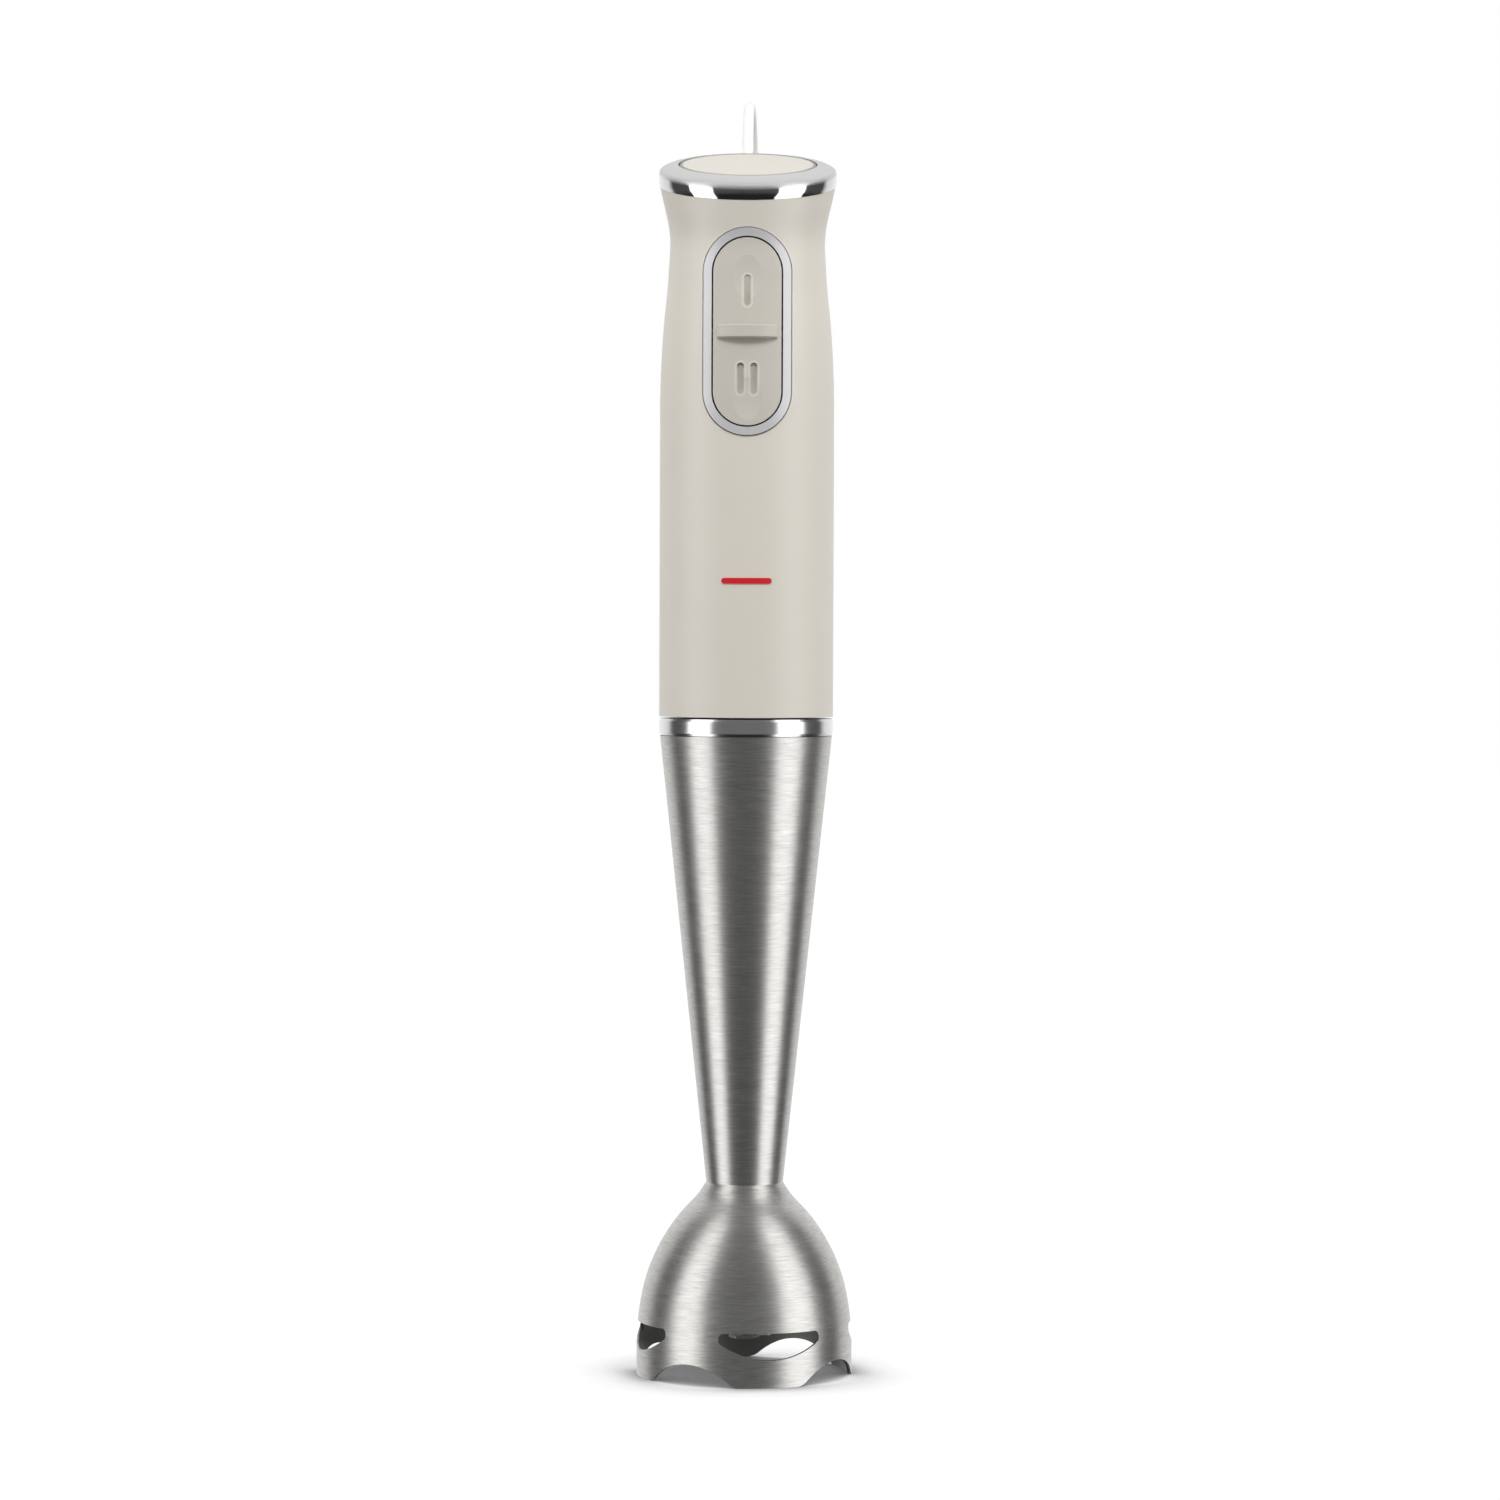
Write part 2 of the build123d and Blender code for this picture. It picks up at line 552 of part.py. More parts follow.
def rocker_switch():
    """Rocker key: curved plate with two thumb dishes, a cross rib, marks and pivot ears."""
    outline = stadium(ROCKER_W, ROCKER_H, -OUTSIDE, -10)
    plate = (handle_form(ROCKER_PROUD) - handle_form(ROCKER_PROUD - ROCKER_T)) & outline
    for side in (-1, 1):
        centre = SWITCH_Z + side * DISH_OFFSET
        front = handle_radius(centre) + ROCKER_PROUD
        plate -= Pos(0, -front - DISH_R + DISH_DEPTH, centre) * Sphere(DISH_R)
    rib_end = ROCKER_W / 2 - RIB_INSET
    bar = block((-rib_end, rib_end), (-OUTSIDE, PIN_Y - 2.5), (SWITCH_Z - RIB_H / 2, SWITCH_Z + RIB_H / 2))
    bar &= Pos(0, RIB_BOW_R - HANDLE_R + 1.0 - RIB_PROUD, SWITCH_Z) * Cylinder(RIB_BOW_R, 2 * RIB_H)
    plate += chamfer(bar.edges().filter_by(GeomType.CIRCLE), 0.5)
    marks = [(0, 13.0), (-2.1, -15.0), (2.1, -15.0)]
    for x, z in marks:
        pill = FRONT * (Pos(x, SWITCH_Z + z) * SlotOverall(MARK_H, MARK_W, rotation=90))
        plate -= extrude(pill, OUTSIDE) - handle_form(ROCKER_PROUD - DISH_DEPTH - MARK_DEPTH)
    for side in (-1, 1):
        z = SWITCH_Z + side * PLUNGER_OFFSET
        plate += block((-2.6, 2.6), (-OUTSIDE, PAD_Y), (z - 2.6, z + 2.6)) & handle_form(-1.5)
        x = side * (ROCKER_W / 2 - EAR_INSET)
        ear = block((x - 1.4, x + 1.4), (PIN_Y - 3.5, PIN_Y), (SWITCH_Z - 2.6, SWITCH_Z + 2.6))
        ear += Pos(x, PIN_Y, SWITCH_Z) * Rot(0, 90, 0) * Cylinder(2.6, 2.8)
        plate += ear
    return plate - pin_rod(PIN_R + RUNNING, 20)


def plunger(side):
    """Rounded button of one speed switch, in light touch with the rocker."""
    tip = PAD_Y + PLUNGER_GAP
    back = BOARD_Y - BOARD_T - PLUNGER_REST
    foot = Pos(0, tip, SWITCH_Z + side * PLUNGER_OFFSET) * Rot(-90, 0, 0)
    pin = foot * extrude(Circle(PLUNGER_R), back - tip)
    return fillet(pin.edges().group_by(Axis.Y)[0], 0.7)


def speed_switches():
    boxes = []
    front = BOARD_Y - BOARD_T - SWITCH_BOX_DEPTH
    for side in (-1, 1):
        z = SWITCH_Z + side * PLUNGER_OFFSET
        half = SWITCH_BOX / 2
        box = block((-half, half), (front, BOARD_Y - BOARD_T), (z - half, z + half))
        bore = Pos(0, front - 1, z) * Rot(-90, 0, 0) * extrude(Circle(PLUNGER_R + RUNNING), SWITCH_BOX_DEPTH)
        boxes.append(box - bore)
    return boxes


def circuit_board():
    board = block((-BOARD_W / 2, BOARD_W / 2), (BOARD_Y - BOARD_T, BOARD_Y),
                  (SWITCH_Z - BOARD_H / 2, SWITCH_Z + BOARD_H / 2))
    return board


def capacitor():
    body = block((-7.5, 7.5), (BOARD_Y, BOARD_Y + 7), (SWITCH_Z + 4, SWITCH_Z + 16))
    return fillet(body.edges().filter_by(Axis.Y), 0.8)


def choke():
    core = Pos(0, BOARD_Y + 4.5, SWITCH_Z - 16) * Rot(0, 90, 0) * Cylinder(3.0, 15)
    coil = Pos(0, BOARD_Y + 4.5, SWITCH_Z - 16) * Rot(0, 90, 0) * Cylinder(4.5, 10)
    return core + coil


def diode():
    return Pos(0, BOARD_Y + 1.6, SWITCH_Z - 5) * Rot(0, 90, 0) * Cylinder(1.6, 6)


# ---------------------------------------------------------------- bayonet socket and motor

def socket_insert():
    """Moulded socket in the handle's mouth with three helical grooves for the leg's lugs."""
    socket = turned([(SPIGOT_R + 0.3, HANDLE_Z), (HANDLE_BORE, HANDLE_Z), (HANDLE_BORE, BASE_Z),
                     (DOG_R + 2, BASE_Z), (DOG_R + 2, BASE_Z - 2.5), (SPIGOT_R + 0.3, BASE_Z - 2.5)])
    for angle in around(LUG_COUNT):
        socket -= groove(angle)
    return socket


def bracket(low, high, post_from, post_to):
    """End plate of the motor: bearing seat in the middle and four posts towards the stator."""
    plate = ring(BRACKET_R, BEARING_R, low, high)
    for angle in around(4, 45):
        x, y = MOTOR_SCREW_CIRCLE * cos(radians(angle)), MOTOR_SCREW_CIRCLE * sin(radians(angle))
        plate += Pos(x, y, 0) * rod(POST_R, post_from, post_to)
        plate -= Pos(x, y, 0) * rod(MOTOR_SCREW_R, low - 1, high + 1)
        plate -= Pos(x, y, 0) * rod(MOTOR_SCREW_R, post_from - 1, post_to + 1)
    for angle in around(4):
        x, y = 14.5 * cos(radians(angle)), 14.5 * sin(radians(angle))
        plate -= Pos(x, y, 0) * rod(3.0, low - 1, high + 1)
    return plate


def lower_bracket():
    return bracket(BASE_Z, BRACKET_TOP, BRACKET_TOP, CORE_Z)


def upper_bracket():
    high = TOP_BRACKET_Z + BRACKET_T
    plate = bracket(TOP_BRACKET_Z, high, CORE_TOP, TOP_BRACKET_Z)
    return plate


def damper(low, high):
    return ring(HANDLE_BORE, BRACKET_R, low + 1, high - 1)


def bearing(low):
    """Ball bearing drawn closed, with a groove between its rings."""
    body = ring(BEARING_R, SHAFT_R, low, low + BEARING_T)
    for z in (low, low + BEARING_T - 0.4):
        body -= ring(BEARING_R - 1.6, SHAFT_R + 1.4, z, z + 0.4)
    return body


def stator_core():
    """Laminated stack: yoke ring and two pole shoes, drilled for the long screws."""
    core = ring(STATOR_R, STATOR_R - STATOR_WALL, CORE_Z, CORE_TOP)
    bore = ARMATURE_R + AIR_GAP
    for angle in (90, 270):
        core += sector(bore + 2.2, bore, angle, 100, CORE_Z, CORE_TOP)
        core += sector(STATOR_R - STATOR_WALL + 0.2, bore + 2.0, angle, 36, CORE_Z, CORE_TOP)
    for angle in around(4, 45):
        x, y = MOTOR_SCREW_CIRCLE * cos(radians(angle)), MOTOR_SCREW_CIRCLE * sin(radians(angle))
        core -= Pos(x, y, 0) * rod(MOTOR_SCREW_R, CORE_Z - 1, CORE_TOP + 1)
    return core


def field_coils():
    """One winding round each pole neck, reaching past both ends of the stack."""
    bore = ARMATURE_R + AIR_GAP
    coils = []
    for angle in (90, 270):
        outer = sector(STATOR_R - STATOR_WALL - 0.2, bore + 2.4, angle, 92, CORE_Z - 3, CORE_TOP + 3)
        neck = sector(STATOR_R, bore, angle, 38.5, CORE_Z - 0.3, CORE_TOP + 0.3)
        coils.append(outer - neck)
    return coils


def motor_screws():
    screws = []
    for angle in around(4, 45):
        x, y = MOTOR_SCREW_CIRCLE * cos(radians(angle)), MOTOR_SCREW_CIRCLE * sin(radians(angle))
        top = TOP_BRACKET_Z + BRACKET_T
        screw = rod(MOTOR_SCREW_R, BASE_Z + 0.5, top) + rod(2.1, top, top + 1.6)
        screws.append(Pos(x, y, 0) * (screw - block((-3, 3), (-0.35, 0.35), (top + 0.8, top + 2))))
    return screws


def brush_middle():
    return COMMUTATOR_Z + COMMUTATOR_H / 2


def brush_holders():
    pair = []
    z = brush_middle()
    for side in (-1, 1):
        x = (side * (COMMUTATOR_R + 1.4), side * 19.0)
        tube = block((min(x), max(x)), (-3.4, 3.4), (z - 3.6, TOP_BRACKET_Z))
        tube -= block((min(x) - 1, max(x) - 1) if side > 0 else (min(x) + 1, max(x) + 1),
                      (-2.5, 2.5), (z - 2.6, z + 2.6))
        pair.append(tube)
    return pair


def carbon_brushes():
    pair = []
    z = brush_middle()
    for side in (-1, 1):
        x = (side * (COMMUTATOR_R - 1.0), side * 14.0)
        brush = block((min(x), max(x)), (-2.4, 2.4), (z - 2.5, z + 2.5))
        pair.append(brush - rod(COMMUTATOR_R + RUNNING, z - 4, z + 4))
    return pair


def brush_springs():
    """Coil springs that press the brushes on the commutator."""
    pair = []
    z = brush_middle()
    length = 3.6
    coil = sweep(Plane(origin=(1.7, 0, 0), x_dir=(1, 0, 0), z_dir=(0, 1, 0)) * Circle(0.25),
                 path=Helix(pitch=0.9, height=length - 0.6, radius=1.7), is_frenet=True)
    for side in (-1, 1):
        pair.append(Pos(side * 14.3, 0, z) * Rot(0, 90 * side, 0) * coil)
    return pair


def motor_shaft():
    return chamfer(rod(SHAFT_R, MOTOR_DOG_Z, SHAFT_TOP).edges(), 0.4)


def armature_core():
    core = ring(ARMATURE_R, SHAFT_R, CORE_Z, CORE_TOP)
    for angle in around(12):
        slot = block((7.5, ARMATURE_R - 1.4), (-1.5, 1.5), (CORE_Z - 1, CORE_TOP + 1))
        slot += block((ARMATURE_R - 2, ARMATURE_R + 1), (-0.6, 0.6), (CORE_Z - 1, CORE_TOP + 1))
        core -= Rot(0, 0, angle) * slot
    return core


def armature_windings():
    """End turns of the armature above and below its stack, joined through the slots."""
    low = CORE_Z - WINDING_H
    ends = turned([(SHAFT_R + 1.6, low + 0.8), (6, low), (10.4, low), (12.2, low + 1.6), (12.2, CORE_Z),
                   (SHAFT_R + 1.6, CORE_Z)])
    ends += turned([(SHAFT_R + 1.6, CORE_TOP), (12.2, CORE_TOP), (12.2, CORE_TOP + WINDING_H - 1.6),
                    (10.4, CORE_TOP + WINDING_H), (6, CORE_TOP + WINDING_H),
                    (SHAFT_R + 1.6, CORE_TOP + WINDING_H - 0.8)])
    for angle in around(12):
        ends += Rot(0, 0, angle) * block((7.8, ARMATURE_R - 1.8), (-1.1, 1.1), (CORE_Z - 0.5, CORE_TOP + 0.5))
    return ends


def commutator():
    body = ring(COMMUTATOR_R, SHAFT_R, COMMUTATOR_Z, COMMUTATOR_Z + COMMUTATOR_H)
    body += ring(COMMUTATOR_R - 1.6, SHAFT_R, COMMUTATOR_Z - 1.6, COMMUTATOR_Z)
    for angle in around(12):
        body -= Rot(0, 0, angle) * block((COMMUTATOR_R - 0.6, COMMUTATOR_R + 1), (-0.25, 0.25),
                                         (COMMUTATOR_Z - 1, COMMUTATOR_Z + COMMUTATOR_H + 1))
    return body


def cooling_fan():
    low = BRACKET_TOP + 1.6
    fan = ring(5.5, SHAFT_R, low, low + FAN_H) + ring(FAN_R, SHAFT_R, low, low + 1.0)
    for angle in around(FAN_BLADES):
        fan += Rot(0, 0, angle) * block((5.2, FAN_R - 0.3), (-0.6, 0.6), (low + 0.8, low + FAN_H))
    return fan


def motor_dog():
    return ring(DOG_R, SHAFT_R, MOTOR_DOG_Z, MOTOR_DOG_Z + 5) + jaws(MOTOR_JAW_Z, 90)


def lead_wires():
    """Insulated leads: board to brushes through the bracket's vents, and cord clamp to board."""
    wires = []
    vent = 14.5
    for side in (-1, 1):
        down = FilletPolyline((side * 8, BOARD_Y, SWITCH_Z - 24), (side * 8, BOARD_Y + 5, SWITCH_Z - 24),
                              (side * vent, 0, SWITCH_Z - 26), (side * vent, 0, TOP_BRACKET_Z), radius=2.0)
        across = FilletPolyline((side * 8.5, BOARD_Y, SWITCH_Z + 21),
                                (side * 8.5, BOARD_Y + 6, SWITCH_Z + 21), (side * 3, 8, SWITCH_Z + 5),
                                (side * 3, CLAMP_FRONT, SWITCH_Z + 5), radius=2.5)
        for path in (down, across):
            wires.append(sweep(Plane(origin=path @ 0, z_dir=path % 0) * Circle(0.8), path=path))
    return wires


def cord_clamp():
    clamp = block((-9.5, 9.5), (CLAMP_FRONT, CLAMP_BACK), (CLAMP_Z - 4, CLAMP_Z + 4))
    for x in (-CLAMP_SCREW_X, CLAMP_SCREW_X):
        clamp -= Pos(x, CLAMP_FRONT - 1, CLAMP_Z) * Rot(-90, 0, 0) * extrude(Circle(CLAMP_SCREW_R), 5)
    return fillet(clamp.edges().filter_by(Axis.Y), 1.2)


def clamp_screws():
    pair = []
    under_head = CLAMP_FRONT
    for x in (-CLAMP_SCREW_X, CLAMP_SCREW_X):
        screw = Pos(x, under_head, CLAMP_Z) * Rot(-90, 0, 0) * extrude(Circle(CLAMP_SCREW_R), 8)
        head = Pos(x, under_head - 1.4, CLAMP_Z) * Rot(-90, 0, 0) * extrude(Circle(2.3), 1.4)
        slit = block((x - 3, x + 3), (under_head - 2, under_head - 0.8), (CLAMP_Z - 0.3, CLAMP_Z + 0.3))
        pair.append(screw + head - slit)
    return pair


# ---------------------------------------------------------------- mains cord

def cord_boot():
    """Tapered, grooved cord guard held by a flange inside the rear wall."""
    straight = 10.0
    outline = [(0, 0), (BOOT_BASE_R + 1.4, 0), (BOOT_BASE_R + 1.4, 2), (BOOT_BASE_R, 2)]
    grooves = 5
    for i in range(grooves):
        base = BOOT_L * 0.52 + i * 4.0
        radius = BOOT_BASE_R + (BOOT_TIP_R - BOOT_BASE_R) * (base - straight) / (BOOT_L - straight)
        outline += [(radius, base), (radius - 0.7, base + 0.3), (radius - 0.8, base + 1.4),
                    (radius - 0.25, base + 1.7)]
    outline += [(BOOT_TIP_R, BOOT_L), (0, BOOT_L)]
    return BOOT_PLANE * turned(outline)


CORD_ROUTE = [(0.0, 40.0, 393.0), (0.0, 49.2, 409.0), (0.6, 65.5, 416.6), (1.2, 82.0, 411.0),
              (1.8, 92.8, 397.5), (2.2, 96.5, 368.0), (2.4, 93.5, 318.0), (1.6, 88.0, 262.0),
              (0.2, 83.5, 204.0), (-1.0, 79.5, 146.0), (-0.6, 76.5, 92.0), (0.4, 76.0, 56.0),
              (1.2, 79.0, 34.0), (2.4, 87.0, 15.5), (4.4, 101.5, 4.6), (8.0, 118.0, 1.8),
              (11.6, 130.0, 1.8)]


def cord_radii(points):
    radii = []
    for before, here, after in zip(points, points[1:], points[2:]):
        into, out = Vector(*here) - Vector(*before), Vector(*after) - Vector(*here)
        turn = into.get_angle(out)
        radii.append(0.45 * min(into.length, out.length) / tan(radians(turn / 2)))
    return radii


def cord_tube():
    radii = cord_radii(CORD_ROUTE)
    print("cord radii mm:", [round(r, 1) for r in radii])
    path = FilletPolyline(*CORD_ROUTE, radius=radii)
    print("cord tube length mm:", round(path.length, 1))
    tube = sweep(Plane(origin=path @ 0, z_dir=path % 0) * Circle(CORD_D / 2), path=path)
    print("cord tube volume over section times length:",
          round(tube.volume / (pi * CORD_D ** 2 / 4 * path.length), 4))
    return tube - cord_hank()


def hank_outline():
    """Dog-bone outline of the hank, pinched where the tie holds it."""
    outer = HANK_TURN_R + CORD_D * (HANK_TURNS_WIDE - 0.5)
    near, far = HANK_Y + outer, HANK_Y + outer + HANK_RUN
    middle = (near + far) / 2
    side = Spline((outer, near), (HANK_PINCH, middle), (outer, far), tangents=((0, 1), (0, 1)))
    other = Spline((-outer, near), (-HANK_PINCH, middle), (-outer, far), tangents=((0, 1), (0, 1)))
    ends = ThreePointArc((outer, far), (0, far + outer), (-outer, far))
    ends += ThreePointArc((-outer, near), (0, near - outer), (outer, near))
    return make_face(side + other + ends)


def cord_hank():
    hank = extrude(hank_outline(), HANK_H)
    return chamfer(hank.edges().group_by(Axis.Z)[-1] + hank.edges().group_by(Axis.Z)[0], 1.2)


def cord_tie():
    outer = HANK_TURN_R + CORD_D * (HANK_TURNS_WIDE - 0.5)
    middle = HANK_Y + outer + HANK_RUN / 2
    wide = HANK_PINCH + 1.6
    band = block((-wide, wide), (middle - 4, middle + 4), (0.0, HANK_H + 1.4))
    return fillet(band.edges().filter_by(Axis.Y), 1.6) - cord_hank()


PLUG_Z = HANK_H + PLUG_H / 2


def plug_body():
    """Two-pin plug lying on the hank, its pins pointing away from the blender."""
    base = Plane(origin=(0, PLUG_Y + PLUG_L, PLUG_Z), x_dir=(1, 0, 0), z_dir=(0, 1, 0))
    waist = Plane(origin=(0, PLUG_Y + PLUG_L * 0.45, PLUG_Z), x_dir=(1, 0, 0), z_dir=(0, 1, 0))
    tail = Plane(origin=(0, PLUG_Y, PLUG_Z), x_dir=(1, 0, 0), z_dir=(0, 1, 0))
    return loft([tail * RectangleRounded(9.0, 7.0, 3.4), waist * RectangleRounded(26.0, 12.4, 5.0),
                 base * RectangleRounded(PLUG_W, PLUG_H, 6.5)])


def plug_pins():
    pins = []
    for side in (-1, 1):
        pin = Pos(side * PLUG_PIN_PITCH / 2, PLUG_Y + PLUG_L, PLUG_Z) * Rot(-90, 0, 0)
        pins.append(fillet((pin * extrude(Circle(PLUG_PIN_R), PLUG_PIN_L)).edges().group_by(Axis.Y)[-1], 1.2))
    return pins


# ---------------------------------------------------------------- write every node

NODES = {
    "leg_tube": leg_tube, "blade_guard": blade_guard, "bearing_column": bearing_column,
    "lower_bush": lower_bush, "shaft_seal": shaft_seal, "seal_cap": seal_cap,
    "shaft_sleeve": shaft_sleeve, "leg_collar": leg_collar, "upper_bush": upper_bush,
    "joint_ring": joint_ring, "joint_gasket": joint_gasket,
    "drive_shaft": drive_shaft, "shaft_clip": shaft_clip, "leg_dog": leg_dog, "blade": blade,
    "blade_nut": blade_nut,
    "motor_housing": motor_housing, "socket_insert": socket_insert, "cap_base": cap_base,
    "cap_ring": cap_ring, "cap_disc": cap_disc, "switch_bezel": switch_bezel,
    "switch_frame": switch_frame, "rocker_pin": rocker_pin, "rocker_switch": rocker_switch,
    "plunger_1": lambda: plunger(1), "plunger_2": lambda: plunger(-1),
    "circuit_board": circuit_board, "speed_switches": speed_switches, "capacitor": capacitor,
    "choke": choke, "diode": diode, "lead_wires": lead_wires,
    "lower_bracket": lower_bracket, "upper_bracket": upper_bracket,
    "lower_bearing": lambda: bearing(BASE_Z), "upper_bearing": lambda: bearing(TOP_BRACKET_Z),
    "lower_damper": lambda: damper(BASE_Z, BRACKET_TOP),
    "upper_damper": lambda: damper(TOP_BRACKET_Z, TOP_BRACKET_Z + BRACKET_T),
    "stator_core": stator_core, "field_coils": field_coils, "motor_screws": motor_screws,
    "brush_holders": brush_holders, "carbon_brushes": carbon_brushes, "brush_springs": brush_springs,
    "motor_shaft": motor_shaft, "armature_core": armature_core,
    "armature_windings": armature_windings, "commutator": commutator, "cooling_fan": cooling_fan,
    "motor_dog": motor_dog,
    "cord_clamp": cord_clamp, "clamp_screws": clamp_screws, "cord_boot": cord_boot,
    "cord_tube": cord_tube, "cord_hank": cord_hank, "cord_tie": cord_tie,
    "plug_body": plug_body, "plug_pins": plug_pins,
}


def main():
    os.makedirs("parts", exist_ok=True)
    for name, make in NODES.items():
        made = make()
        solids = []
        for piece in made if isinstance(made, list) else [made]:
            solids.extend(piece.solids())
        export_step(Compound(solids), f"parts/{name}.step")
        print(name, len(solids), round(sum(s.volume for s in solids), 1),
              all(s.is_valid for s in solids))


main()
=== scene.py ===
import math

import bmesh
import bpy
from mathutils import Matrix, Vector


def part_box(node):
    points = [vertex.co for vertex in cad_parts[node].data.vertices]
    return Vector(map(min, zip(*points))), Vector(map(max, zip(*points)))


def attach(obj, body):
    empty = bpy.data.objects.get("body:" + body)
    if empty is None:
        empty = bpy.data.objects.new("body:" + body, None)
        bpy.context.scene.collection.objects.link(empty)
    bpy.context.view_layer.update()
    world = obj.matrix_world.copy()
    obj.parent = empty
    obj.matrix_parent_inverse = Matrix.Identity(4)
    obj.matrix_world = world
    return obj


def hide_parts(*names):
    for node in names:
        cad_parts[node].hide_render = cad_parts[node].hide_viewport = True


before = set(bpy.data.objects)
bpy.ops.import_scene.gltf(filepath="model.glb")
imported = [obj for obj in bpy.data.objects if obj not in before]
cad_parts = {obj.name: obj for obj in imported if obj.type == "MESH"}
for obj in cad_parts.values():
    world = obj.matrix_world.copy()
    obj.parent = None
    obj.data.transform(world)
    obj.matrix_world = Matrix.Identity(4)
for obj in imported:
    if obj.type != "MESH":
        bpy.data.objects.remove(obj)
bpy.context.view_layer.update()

# ---------------------------------------------------------------- camera and cord first
# The camera stands a little above the parting line, 1.6 m in front of the axis, and looks slightly
# down. The blender leans a fifth of a degree in its view.

CAMERA_AWAY = 1.6
CAMERA_HIGH = 0.245
CAMERA_AIM = Vector((0.0013, 0.0, 0.2016))
CAMERA_ROLL = math.radians(0.19)

camera_data = bpy.data.cameras.new("studio_camera")
camera_data.lens = 119.0
camera_data.sensor_width = 36.0
camera_data.clip_start = 0.05
camera = bpy.data.objects.new("studio_camera", camera_data)
camera.location = (CAMERA_AIM.x, -CAMERA_AWAY, CAMERA_HIGH)
towards = (CAMERA_AIM - camera.location).to_track_quat("-Z", "Y")
camera.rotation_euler = (towards.to_matrix() @ Matrix.Rotation(CAMERA_ROLL, 3, "Z")).to_euler()
bpy.context.collection.objects.link(camera)
bpy.context.scene.camera = camera
bpy.context.scene.view_settings.view_transform = "Standard"


class Value:
    """A number socket of a shader tree that can be used in a Python expression."""

    def __init__(self, paint, socket):
        self.paint = paint
        self.socket = socket

    def __add__(self, other):
        return self.paint.maths("ADD", self, other)

    def __radd__(self, other):
        return self.paint.maths("ADD", other, self)

    def __sub__(self, other):
        return self.paint.maths("SUBTRACT", self, other)

    def __rsub__(self, other):
        return self.paint.maths("SUBTRACT", other, self)

    def __mul__(self, other):
        return self.paint.maths("MULTIPLY", self, other)

    def __rmul__(self, other):
        return self.paint.maths("MULTIPLY", other, self)

    def __gt__(self, other):
        return self.paint.maths("GREATER_THAN", self, other)

    def __lt__(self, other):
        return self.paint.maths("LESS_THAN", self, other)


class Tree:
    """A node tree with a short way to add any node."""

    def __init__(self, tree):
        self.tree = tree

    def node(self, kind, settings, sockets):
        made = self.tree.nodes.new(kind)
        for name, value in settings.items():
            setattr(made, name, value)
        for key, value in sockets.items():
            if isinstance(value, Value):
                value = value.socket
            if isinstance(value, bpy.types.NodeSocket):
                self.tree.links.new(value, made.inputs[key])
            else:
                made.inputs[key].default_value = value
        return made

    def maths(self, operation, first, second=0.0):
        node = self.node("ShaderNodeMath", {"operation": operation}, {0: first, 1: second})
        return Value(self, node.outputs[0])

    def ramp_colour(self, factor, *stops):
        """Colour ramp from (position, colour) pairs."""
        node = self.node("ShaderNodeValToRGB", {}, {"Fac": factor})
        scale = node.color_ramp
        while len(scale.elements) < len(stops):
            scale.elements.new(0.5)
        for stop, (position, colour) in zip(scale.elements, stops):
            stop.position = position
            stop.color = (*colour, 1.0)
        return node.outputs[0]

    def ramp(self, factor, *stops):
        """Ramp of grey levels from (position, level) pairs."""
        return self.ramp_colour(factor, *[(position, (grey, grey, grey)) for position, grey in stops])


class Paint(Tree):
    """One material, with its Principled shader."""

    def __init__(self, name, colour, roughness, metallic=0.0, **settings):
        self.material = bpy.data.materials.new(name)
        self.material.use_nodes = True
        super().__init__(self.material.node_tree)
        self.shader = self.tree.nodes["Principled BSDF"]
        self.shader.inputs["Base Color"].default_value = (*colour, 1.0)
        self.shader.inputs["Roughness"].default_value = roughness
        self.shader.inputs["Metallic"].default_value = metallic
        for socket, value in settings.items():
            self.shader.inputs[socket.replace("_", " ")].default_value = value

    def place(self, scale):
        """Object coordinates, stretched."""
        here = self.node("ShaderNodeTexCoord", {}, {}).outputs["Object"]
        return self.node("ShaderNodeMapping", {}, {"Vector": here, "Scale": scale}).outputs[0]

    def axes(self, *names):
        """Object coordinates as separate values, by axis name."""
        node = self.node("ShaderNodeSeparateXYZ", {}, {0: self.place((1.0, 1.0, 1.0))})
        return [Value(self, node.outputs[name]) for name in names]

    def grey(self, colour):
        """The level of a grey colour socket."""
        return Value(self, self.node("ShaderNodeSeparateColor", {}, {0: colour}).outputs[0])

    def noise(self, scale, stretch=(1.0, 1.0, 1.0), detail=3.0, roughness=0.5):
        node = self.node("ShaderNodeTexNoise", {}, {"Vector": self.place(stretch), "Scale": scale,
                                                    "Detail": detail, "Roughness": roughness})
        return Value(self, node.outputs["Fac"])

    def mix(self, factor, dark, light):
        node = self.node("ShaderNodeMix", {"data_type": "RGBA"},
                         {0: factor, 6: (*dark, 1.0), 7: (*light, 1.0)})
        return node.outputs[2]

    def drive(self, socket, value):
        if isinstance(value, Value):
            value = value.socket
        self.tree.links.new(value, self.shader.inputs[socket])

    def bump(self, height, strength, distance):
        node = self.node("ShaderNodeBump", {}, {"Height": height, "Strength": strength,
                                                "Distance": distance})
        self.drive("Normal", node.outputs[0])


def tinted(colour, by):
    return tuple(min(1.0, part * by) for part in colour)


def dress(paint, *nodes):
    """Gives CAD nodes a finish."""
    for name in nodes:
        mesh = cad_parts[name].data
        mesh.materials.clear()
        mesh.materials.append(paint.material)


def show(name, mesh, body, slot, paint, *nodes):
    """Puts a finished mesh in the scene, riding on a body and standing for CAD nodes."""
    piece = bpy.data.objects.new(name, mesh)
    bpy.context.collection.objects.link(piece)
    mesh.materials.clear()
    mesh.materials.append(paint.material)
    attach(piece, body)
    if nodes:
        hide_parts(*nodes)
    return piece


# The mains lead is 1.5 m of white flex. It leaves its guard behind the top, bends over, hangs
# down behind the handle and ends in a tied hank on the table, with the plug lying on it.

